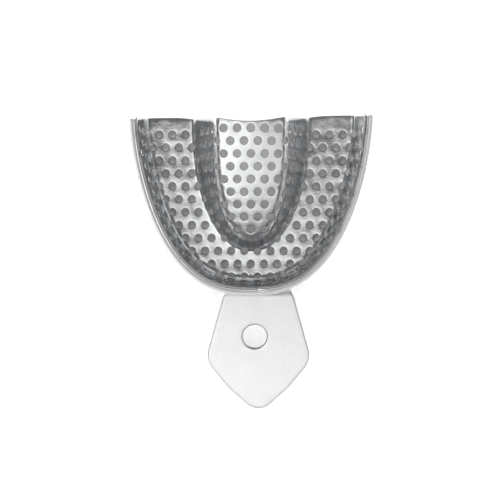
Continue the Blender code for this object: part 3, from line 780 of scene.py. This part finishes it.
def press_handle(blank):
    """Place flat handle points (across, along from the tab's foot) on the bent plate."""
    x = HANDLE_X + blank[:, 0]
    along = blank[:, 1]
    tab_length, bend_length = handle_lengths()
    out, rise, heading = handle_course(along)
    hug = np.clip(1 - (along - tab_length) / bend_length, 0.0, 1.0)
    hug = hug * hug * (3 - 2 * hug)
    curved_y, slope = wall_front(x, tab_reach())
    flat_y = FLOOR_FRONT_Y - tab_reach()
    y = hug * curved_y + (1 - hug) * flat_y - out
    middle = np.column_stack([x, y, TAB_BOTTOM_Z + rise])
    lean = np.sin(heading)
    normal = np.column_stack([-lean * hug * slope, lean, np.cos(heading)])
    return middle, normal / np.linalg.norm(normal, axis=1)[:, None]


def blade_along(y):
    """Length along the plate at which the blade's middle reaches y."""
    blade_start = sum(handle_lengths())
    out = handle_course(np.array([blade_start]))[0][0]
    return blade_start + (FLOOR_FRONT_Y - tab_reach() - out - y) / math.cos(HANDLE_DROOP)


def rounded_corner(before, corner, after, radius, steps):
    """Arc of the given radius that rounds the corner between two straight edges."""
    back = (before - corner) / np.linalg.norm(before - corner)
    ahead = (after - corner) / np.linalg.norm(after - corner)
    half = math.acos(back @ ahead) / 2
    bisector = (back + ahead) / np.linalg.norm(back + ahead)
    centre = corner + bisector * radius / math.sin(half)
    start = corner + back * radius / math.tan(half) - centre
    end = corner + ahead * radius / math.tan(half) - centre
    turned = math.atan2(start[0] * end[1] - start[1] * end[0], start @ end)
    turn = turned * np.linspace(0.0, 1.0, steps)[:, None]
    across = np.array([-start[1], start[0]])
    return centre + np.cos(turn) * start + np.sin(turn) * across


def handle_outline():
    """Flat outline of the handle plate."""
    tab_length, bend_length = handle_lengths()
    foot = np.array([TAB_HALF_WIDTH, 0.0])
    tab_top = np.array([TAB_HALF_WIDTH, tab_length])
    root = np.array([ROOT_HALF_WIDTH, tab_length + bend_length])
    shoulder = np.array([SHOULDER_HALF_WIDTH, blade_along(SHOULDER_Y)])
    cheek = np.array([CHEEK_HALF_WIDTH, blade_along(CHEEK_Y)])
    point = np.array([0.0, blade_along(POINT_Y)])
    foot_corner = rounded_corner(foot * 0, foot, tab_top, TAB_CORNER_RADIUS, TAB_CORNER_STEPS)
    root_corner = rounded_corner(tab_top, root, shoulder, ROOT_RADIUS, ROOT_STEPS)
    shoulder_corner = rounded_corner(root, shoulder, cheek, SHOULDER_RADIUS, SHOULDER_STEPS)
    cheek_corner = rounded_corner(shoulder, cheek, point, CHEEK_RADIUS, CHEEK_STEPS)
    tip = rounded_corner(cheek, point, cheek * (-1, 1), POINT_RADIUS, POINT_STEPS)
    right = np.concatenate([foot_corner, [tab_top], root_corner, shoulder_corner, cheek_corner])
    left = right[::-1] * (-1, 1)
    loop = np.concatenate([right, tip[1:-1], left, right[:1]])
    return evenly_spaced(loop, HANDLE_STATION)[:-1]


def make_handle(material):
    """The bent plate with its hole, marked with how strongly shade is painted on it towards its
    root.
    """
    outline = handle_outline()
    turn = np.arange(HANDLE_HOLE_SIDES) * 2 * math.pi / HANDLE_HOLE_SIDES
    circle = HANDLE_HOLE_RADIUS * np.stack([np.cos(turn), np.sin(turn)], axis=1)
    hole = circle + (HANDLE_HOLE_X, blade_along(HANDLE_HOLE_Y))
    fill = fill_grid(outline, [hole], HANDLE_FILL_CLEARANCE, HANDLE_FILL_SPACING)
    handle = thick_sheet("handle_blade", outline, [hole], fill, press_handle,
                         HANDLE_THICKNESS, HANDLE_EDGE_ROUND, material)
    root_y = FLOOR_FRONT_Y - tab_reach()
    # Painted shade: the plate is greyed most at its root and less further out.
    from_root = np.array([root_y - vertex.co.y for vertex in handle.data.vertices])
    tag_points(handle.data, "root_shade", np.clip(1 - from_root / ROOT_SHADE_REACH, 0.0, 1.0))
    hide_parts("handle_plate")
    return handle


def on_wall(points, radius):
    """Centre line of a bead of solder on the front wall, from points (across, height)."""
    x = HANDLE_X + points[:, 0]
    y = [wall_front(a, wall_face_reach(z) + radius)[0] for a, z in zip(x, points[:, 1])]
    return np.column_stack([x, y, points[:, 1]])


def bead(name, points, radius, material):
    """Bead of solder along the wall with tapered ends and an uneven width."""
    path = on_wall(evenly_spaced(points, SOLDER_STATION), radius)
    share = np.linspace(-1.0, 1.0, len(path))
    taper = 1 - SOLDER_TAPER * share ** SOLDER_TAPER_POWER
    radii = radius * taper + waviness(path, *SOLDER_WAVES)
    return sweep(name, path, radii, SOLDER_SIDES, (0.0, 1.0, 0.0), material)


def make_solder_drop(material):
    """A drop of solder left standing on the rim above the handle's tab."""
    stations = np.linspace(0.0, math.pi, DROP_STATIONS)[1:-1]
    swell = np.sin(stations)
    across = HANDLE_X + DROP_X + DROP_LENGTH / 2 * np.cos(stations[::-1])
    y = wall_front(across, wall_face_reach(WALL_HEIGHT))[0]
    path = np.column_stack([across, y, WALL_HEIGHT - WIRE_DROP + DROP_RISE * swell])
    radii = DROP_RADIUS * np.sqrt(swell) + waviness(path, *DROP_WAVES)
    drop = sweep("rim_solder_drop", path, radii, WIRE_SIDES, (0.0, 1.0, 0.0), material)
    return drop


def make_handle_solder(material):
    """The solder round the tab's foot and sides, and in the groove over the handle's bend."""
    half_width = TAB_HALF_WIDTH + GAP + FOOT_SOLDER_RADIUS
    foot_z = TAB_BOTTOM_Z - GAP - FOOT_SOLDER_RADIUS
    top = np.array([half_width, FOOT_SOLDER_TOP_Z])
    corner = np.array([half_width, foot_z])
    arc = rounded_corner(top, corner, corner * (-1, 1), SOLDER_CORNER_RADIUS,
                         SOLDER_CORNER_STEPS)
    side = np.concatenate([[top], arc])
    foot = bead("tab_solder_fillet", np.concatenate([side, side[::-1] * (-1, 1)]),
                FOOT_SOLDER_RADIUS + GAP, material)
    from_bend_axis = HANDLE_BEND_RADIUS + HANDLE_THICKNESS / 2 + GAP + TOP_SOLDER_RADIUS
    sideways = HANDLE_BEND_RADIUS + HANDLE_THICKNESS / 2 - TOP_SOLDER_RADIUS
    beyond_tab = math.sqrt(from_bend_axis ** 2 - sideways ** 2)
    groove_z = TAB_BOTTOM_Z + (handle_lengths()[0] + beyond_tab) * math.sin(WALL_ANGLE)
    ends = np.array([[-TAB_HALF_WIDTH, groove_z], [TAB_HALF_WIDTH, groove_z]])
    groove = bead("groove_solder_fillet", ends, TOP_SOLDER_RADIUS + GAP, material)
    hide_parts("handle_foot_solder")
    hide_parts("handle_top_solder")
    return [foot, groove]


# ------------------------------------------------------------------ materials

def node(tree, kind, inputs=(), **settings):
    """Add a shader node, set its properties and its inputs' values or links."""
    made = tree.nodes.new(kind)
    for key, value in settings.items():
        setattr(made, key, value)
    for key, value in dict(inputs).items():
        if isinstance(value, bpy.types.NodeSocket):
            tree.links.new(value, made.inputs[key])
        else:
            made.inputs[key].default_value = value
    return made


def ramp(tree, factor, stops):
    """Colour ramp through (position, grey or colour) stops."""
    made = node(tree, "ShaderNodeValToRGB", {"Fac": factor})
    elements = made.color_ramp.elements
    while len(elements) < len(stops):
        elements.new(0.5)
    for element, (position, value) in zip(elements, stops):
        element.position = position
        element.color = (*value, 1.0) if isinstance(value, tuple) else (value, value, value, 1.0)
    return made.outputs["Color"]


def combined(tree, operation, first, second):
    """Result of one sum or product of two values."""
    return node(tree, "ShaderNodeMath", {0: first, 1: second}, operation=operation).outputs["Value"]


def scratches(tree, place, angle, across, threshold):
    """Fine parallel marks in one direction, about a millimetre and a half long."""
    turned = node(tree, "ShaderNodeMapping", {
        "Vector": place, "Rotation": (0.0, 0.0, angle),
        "Scale": (SCRATCH_LENGTH_SCALE, across, SCRATCH_LENGTH_SCALE)})
    marks = node(tree, "ShaderNodeTexNoise", {"Vector": turned.outputs["Vector"], "Scale": 1.0})
    return ramp(tree, marks.outputs["Fac"],
                [(threshold, 0.0), (threshold + SCRATCH_SOFTNESS, 1.0)])


def steel(name, light, dark, edge_shade_tone, roughness, grain, brushed, metallic=1.0):
    """Bare worked metal: cloudy polish, fine grain and crossing marks, with painted shade as a
    darker tone on the rounded cut edges and as a flat grey towards the handle's root."""
    material = bpy.data.materials.new(name)
    material.use_nodes = True
    tree = material.node_tree
    shader = tree.nodes["Principled BSDF"]
    place = node(tree, "ShaderNodeTexCoord").outputs["Object"]
    cloud = node(tree, "ShaderNodeTexNoise", {"Vector": place, **CLOUD_NOISE}).outputs["Fac"]
    peel = node(tree, "ShaderNodeTexNoise", {"Vector": place, **PEEL_NOISE}).outputs["Fac"]
    marks = combined(tree, "ADD", *(scratches(tree, place, *each) for each in SCRATCHES))
    tone = ramp(tree, cloud, [*zip(CLOUD_RANGE, (dark, light))])
    edge = node(tree, "ShaderNodeAttribute", attribute_name="edge").outputs["Fac"]
    root_shade = node(tree, "ShaderNodeAttribute", attribute_name="root_shade").outputs["Fac"]
    # Painted shade: greyed towards the handle's root.
    root_shaded = node(tree, "ShaderNodeMix", {
        "Factor": root_shade, "A": tone, "B": ROOT_SHADE_GREY}, data_type="RGBA").outputs["Result"]
    # Painted shade: the rounded cut edges are mixed towards the darker edge tone.
    shaded_edges = node(tree, "ShaderNodeMix", {
        "Factor": edge, "A": root_shaded, "B": (*edge_shade_tone, 1.0)}, data_type="RGBA")
    tree.links.new(shaded_edges.outputs["Result"], shader.inputs["Base Color"])
    rough = node(tree, "ShaderNodeMapRange", {
        "Value": cloud, "From Min": CLOUD_RANGE[0], "From Max": CLOUD_RANGE[1],
        "To Min": roughness[0], "To Max": roughness[1]})
    rougher = node(tree, "ShaderNodeMath", {
        0: marks, 1: SCRATCH_ROUGHNESS, 2: rough.outputs["Result"]}, operation="MULTIPLY_ADD")
    tree.links.new(rougher.outputs["Value"], shader.inputs["Roughness"])
    height = node(tree, "ShaderNodeMath", {
        0: marks, 1: brushed, 2: peel}, operation="MULTIPLY_ADD")
    bump = node(tree, "ShaderNodeBump", {
        "Height": height.outputs["Value"], "Strength": grain, "Distance": GRAIN_DEPTH})
    tree.links.new(bump.outputs["Normal"], shader.inputs["Normal"])
    shader.inputs["Metallic"].default_value = metallic
    return material


def floor_paper():
    """Matt pale studio paper with a faint tooth."""
    material = bpy.data.materials.new("studio_paper")
    material.use_nodes = True
    tree = material.node_tree
    shader = tree.nodes["Principled BSDF"]
    place = node(tree, "ShaderNodeTexCoord").outputs["Object"]
    tooth = node(tree, "ShaderNodeTexNoise", {"Vector": place, "Scale": PAPER_SCALE})
    tree.links.new(ramp(tree, tooth.outputs["Fac"], PAPER_TONES), shader.inputs["Base Color"])
    shader.inputs["Roughness"].default_value = PAPER_ROUGHNESS
    shader.inputs["Specular IOR Level"].default_value = PAPER_SPECULAR
    return material


# ---------------------------------------------------------------------- stage

def make_floor():
    """Plain pale floor, a hair below the tray so that the two never share a plane."""
    mesh = bpy.data.meshes.new("studio_floor")
    corners = [(FLOOR_HALF * x, FLOOR_HALF * y, 0) for x, y in ((-1, -1), (1, -1), (1, 1), (-1, 1))]
    mesh.from_pydata(corners, [], [(0, 1, 2, 3)])
    mesh.materials.append(floor_paper())
    floor = bpy.data.objects.new("studio_floor", mesh)
    floor.location.z = -FLOOR_DROP
    bpy.context.scene.collection.objects.link(floor)
    return floor


def eased(tree, value, edge, start, end):
    """Level that goes smoothly from start to end as a value crosses an edge of some width."""
    return node(tree, "ShaderNodeMapRange", {
        "Value": value, "From Min": edge[0], "From Max": edge[1], "To Min": start,
        "To Max": end}, interpolation_type="SMOOTHSTEP").outputs["Result"]


def sky():
    """Soft studio surround: an uneven softbox overhead in front, over a dimmer backdrop."""
    world = bpy.data.worlds.new("studio")
    world.use_nodes = True
    tree = world.node_tree
    toward = node(tree, "ShaderNodeTexCoord").outputs["Generated"]
    axes = node(tree, "ShaderNodeSeparateXYZ", {"Vector": toward}).outputs
    in_front = node(tree, "ShaderNodeVectorMath", {
        0: toward, 1: SOFTBOX_TOWARD}, operation="DOT_PRODUCT").outputs["Value"]
    from_left = node(tree, "ShaderNodeMapRange", {
        "Value": axes["X"], "From Min": -SIDE_REACH, "From Max": SIDE_REACH}).outputs["Result"]
    softbox = combined(tree, "MULTIPLY", eased(tree, in_front, SOFTBOX_EDGE, 0.0, SOFTBOX),
                       ramp(tree, from_left, SIDE_LEVELS))
    softbox = combined(tree, "MULTIPLY", softbox, eased(tree, axes["Z"], SOFTBOX_FOOT, 0.0, 1.0))
    low_level = eased(tree, axes["X"], BACKDROP_LEFT_EDGE, BACKDROP_LEFT, BACKDROP)
    backdrop = eased(tree, axes["Z"], BACKDROP_TOP, low_level, OVERHEAD)
    background = tree.nodes["Background"]
    tree.links.new(combined(tree, "ADD", softbox, backdrop), background.inputs["Strength"])
    background.inputs["Color"].default_value = (1.0, 1.0, 1.0, 1.0)
    bpy.context.scene.world = world


def soft_sun(name, turn, rise, wash, lit):
    """Wide soft lamp from a compass direction and a height, which only shines on some pieces."""
    data = bpy.data.lights.new(name, "SUN")
    data.energy = wash / math.sin(rise)
    data.angle = LAMP_SPREAD
    lamp = bpy.data.objects.new(name, data)
    from_lamp = Vector((math.cos(turn) * math.cos(rise), math.sin(turn) * math.cos(rise),
                        math.sin(rise)))
    lamp.rotation_mode = "QUATERNION"
    lamp.rotation_quaternion = (-from_lamp).to_track_quat("-Z", "Y")
    lamp.location = from_lamp * LAMP_DISTANCE
    lamp.light_linking.receiver_collection = lit
    bpy.context.scene.collection.objects.link(lamp)


def lit_pieces(name, pieces):
    """Collection of the pieces that some lamps shine on."""
    group = bpy.data.collections.new(name)
    for piece in pieces:
        group.objects.link(piece)
    return group


def make_lamps(floor, rim):
    """Lamps that wash the floor white and leave the steel alone, and one fill for the rim."""
    only_floor = lit_pieces("floor_wash", [floor])
    only_rim = lit_pieces("rim_light", rim)
    for index in range(FLOOR_LAMPS):
        turn = 2 * math.pi * index / FLOOR_LAMPS
        soft_sun(f"floor_lamp_{index}", turn, FLOOR_LAMP_RISE, FLOOR_LAMP_WASH, only_floor)
    for index, turn in enumerate(BACK_LAMP_TURNS):
        soft_sun(f"back_lamp_{index}", turn, BACK_LAMP_RISE, BACK_LAMP_WASH, only_floor)
    soft_sun("rim_fill", RIM_FILL_TURN, RIM_FILL_RISE, RIM_FILL_WASH, only_rim)


def strip(line, low, high):
    """Corners and faces of an upright strip over a line on the floor."""
    corners = [(x, y, low) for x, y in line] + [(x, y, high) for x, y in line]
    count = len(line)
    return corners, [(i, i + 1, count + i + 1, count + i) for i in range(count - 1)]


def make_flag(shift):
    """Unseen flag that keeps the floor lamps off the floor under the pan: a low strip
    round the foot of the wall, and a net across the opening under the palate."""
    plan = offset_curve(FLOOR_LINE, FLAG_REACH)[::COARSE]
    plan = plan[plan[:, 1] < back_edge_y(plan[:, 0])]
    x = np.linspace(-PALATE_HALF_WIDTH, PALATE_HALF_WIDTH, NET_STATIONS)
    mouth = np.column_stack([x, back_edge_y(x)])
    mouth[:, 1] += NET_REACH * palate_height(mouth)
    strips = [(plan, 0.0, FLAG_HEIGHT)]
    for low in np.arange(0.0, PALATE_HEIGHT - SHEET - NET_PITCH, NET_PITCH):
        strips.append((mouth, low, low + NET_DENSITY * NET_PITCH))
    vertices, faces = [], []
    for line, low, high in strips:
        corners, sides = strip(line + np.array([0.0, shift]), low, high)
        faces += [tuple(len(vertices) + i for i in side) for side in sides]
        vertices += corners
    mesh = bpy.data.meshes.new("light_flag")
    mesh.from_pydata(vertices, [], faces)
    flag = bpy.data.objects.new("light_flag", mesh)
    for sight in ("camera", "diffuse", "glossy", "transmission", "volume_scatter"):
        setattr(flag, f"visible_{sight}", False)
    bpy.context.scene.collection.objects.link(flag)


def make_camera():
    """Camera looking straight down on the whole tray, framed by the width of its rim."""
    data = bpy.data.cameras.new("camera")
    data.sensor_width = CAMERA_SENSOR
    rim_low, rim_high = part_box("rim_wire")
    rim_width = rim_high.x - rim_low.x
    data.lens = CAMERA_SENSOR * RIM_SHARE * (CAMERA_HEIGHT - rim_high.z) / rim_width
    camera = bpy.data.objects.new("camera", data)
    camera.location = (CAMERA_X, CAMERA_Y, CAMERA_HEIGHT)
    data.clip_start, data.clip_end = CAMERA_CLIP
    bpy.context.scene.collection.objects.link(camera)
    bpy.context.scene.camera = camera


def main():
    """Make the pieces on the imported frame, and then their light, stage and camera."""
    # The dark edge tone of the pan and the plate is painted shade on their rounded cut edges.
    pan_steel = steel(
        "pressed_sheet_steel", light=(0.80, 0.81, 0.82), dark=(0.66, 0.67, 0.68),
        edge_shade_tone=(0.40, 0.405, 0.41), roughness=(0.12, 0.21), grain=0.5, brushed=0.15)
    wire_steel = steel(
        "wire_steel", light=(0.94, 0.945, 0.95), dark=(0.86, 0.865, 0.87),
        edge_shade_tone=(0.86, 0.87, 0.88), roughness=(0.36, 0.50), grain=0.3, brushed=0.2,
        metallic=0.5)
    plate_steel = steel(
        "plate_steel", light=(0.99, 0.99, 0.99), dark=(0.94, 0.94, 0.94),
        edge_shade_tone=(0.40, 0.40, 0.40), roughness=(0.24, 0.32), grain=0.25, brushed=0.35)
    solder = steel(
        "solder", light=(0.88, 0.88, 0.87), dark=(0.72, 0.72, 0.71),
        edge_shade_tone=(0.80, 0.80, 0.79), roughness=(0.22, 0.36), grain=0.6, brushed=0.1)
    pan = make_tray_pan(pan_steel)
    rim = [*make_rim(wire_steel, solder), make_solder_drop(solder)]
    pieces = [pan, *rim, make_handle(plate_steel), *make_handle_solder(solder)]
    highest_y = max(v.co.y for v in pan.data.vertices)
    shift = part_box("tray_pan")[1].y - highest_y
    for piece in pieces:
        piece.location.y = shift
        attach(piece, "root")
    sky()
    make_lamps(make_floor(), rim)
    make_flag(shift)
    make_camera()
    bpy.context.scene.view_settings.view_transform = "Standard"


main()
